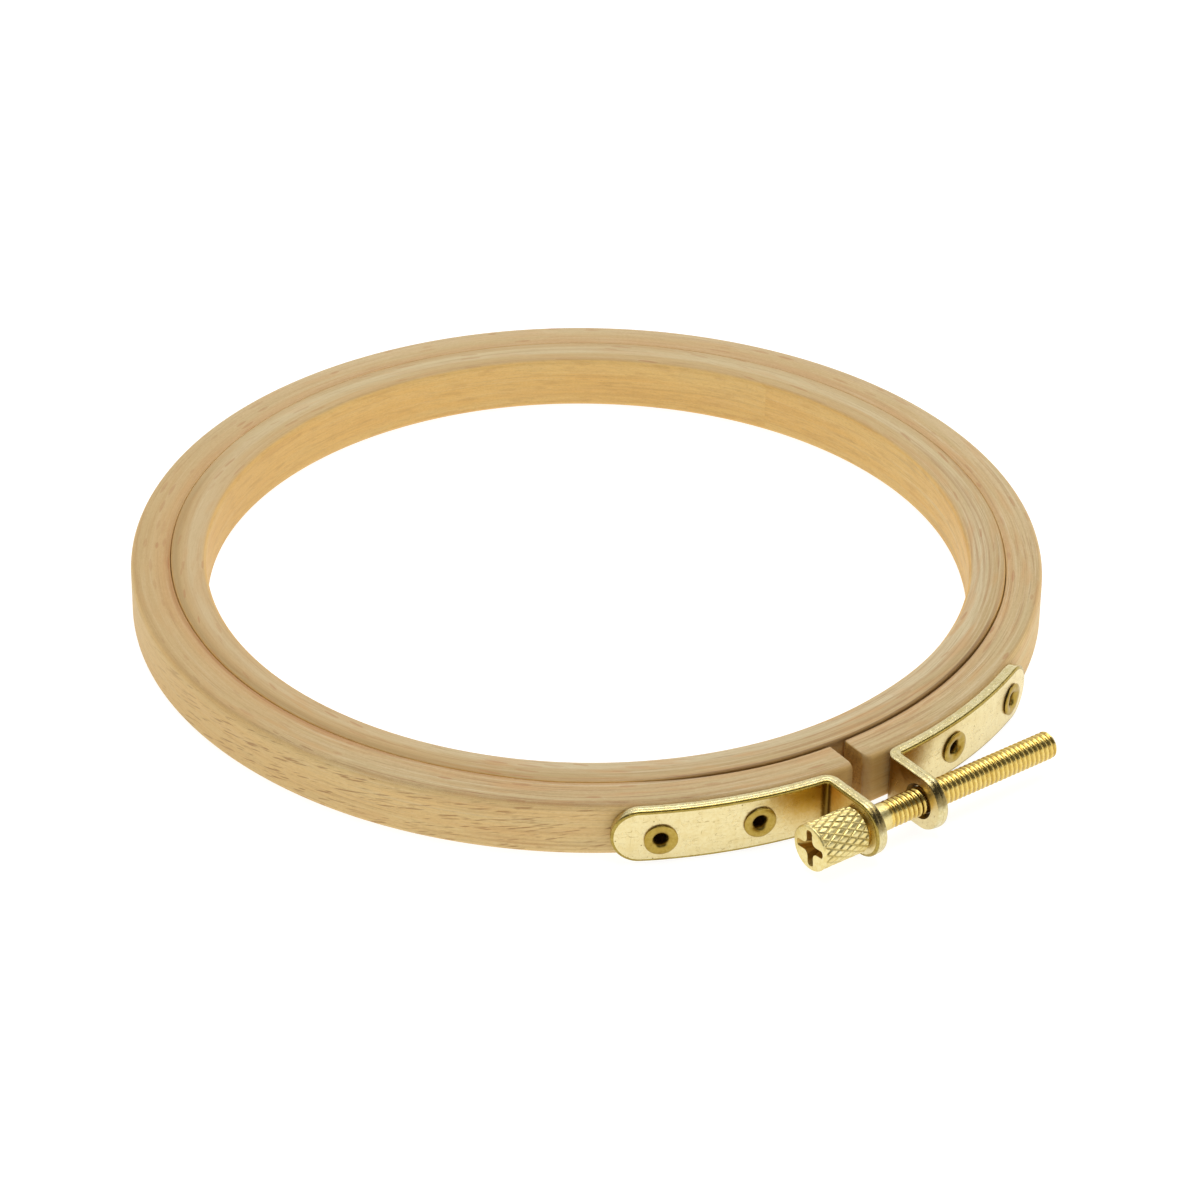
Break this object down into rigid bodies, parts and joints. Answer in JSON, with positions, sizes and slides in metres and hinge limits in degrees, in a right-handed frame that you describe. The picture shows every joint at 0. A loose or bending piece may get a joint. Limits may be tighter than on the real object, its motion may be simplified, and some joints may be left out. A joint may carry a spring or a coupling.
{
  "type": "embroidery hoop",
  "caption": "Small round wooden embroidery hoop: a plain inner hoop inside a split outer hoop, drawn tight by a knurled brass screw through two riveted brass lugs.",
  "frame": {"origin": "centre of the hoop, half-way up its height, on the hoop's own axis", "axes": "+Z along the hoop's axis, -Y out through the saw cut to the clamp screw, +X from the screw's head towards its tip"},
  "size_m": [0.1294, 0.1416, 0.008],
  "materials": {
    "beech_outer": "sanded, unvarnished beech",
    "beech_inner": "sanded, unvarnished beech",
    "brass_strip": "bright rolled brass, lightly scuffed",
    "brass_rivet": "dulled brass",
    "brass_screw": "bright turned brass"
  },
  "bodies": {
    "fixed_end": {"outer_hoop_left": "beech_outer", "head_side_bracket": "brass_strip", "rivet_head_side_near": "brass_rivet", "rivet_head_side_far": "brass_rivet"},
    "free_end": {"outer_hoop_right": "beech_outer", "threaded_bracket": "brass_strip", "rivet_threaded_side_near": "brass_rivet", "rivet_threaded_side_far": "brass_rivet"},
    "inner_hoop": {"inner_hoop": "beech_inner"},
    "clamp_screw": {"clamp_screw": "brass_screw"}
  },
  "joints": [
    {"name": "screw_turn", "type": "hinge", "parent": "fixed_end", "child": "clamp_screw", "pos_m": [0, -0.07225, 0], "axis": [-0.9989, -0.0471, 0], "range_deg": [0, 1904]},
    {"name": "hoop_flex", "type": "hinge", "parent": "fixed_end", "child": "free_end", "pos_m": [0.0009, 0.06475, 0], "axis": [0, 0, 1], "range_deg": [0, 1.76]},
    {"name": "inner_hoop_lift", "type": "slide", "parent": "fixed_end", "child": "inner_hoop", "axis": [0, 0, 1], "range_m": [0, 0.025]}
  ],
  "couplings": [
    {"joint": "screw_turn", "follows": "hoop_flex", "ratio": 1082.8}
  ]
}
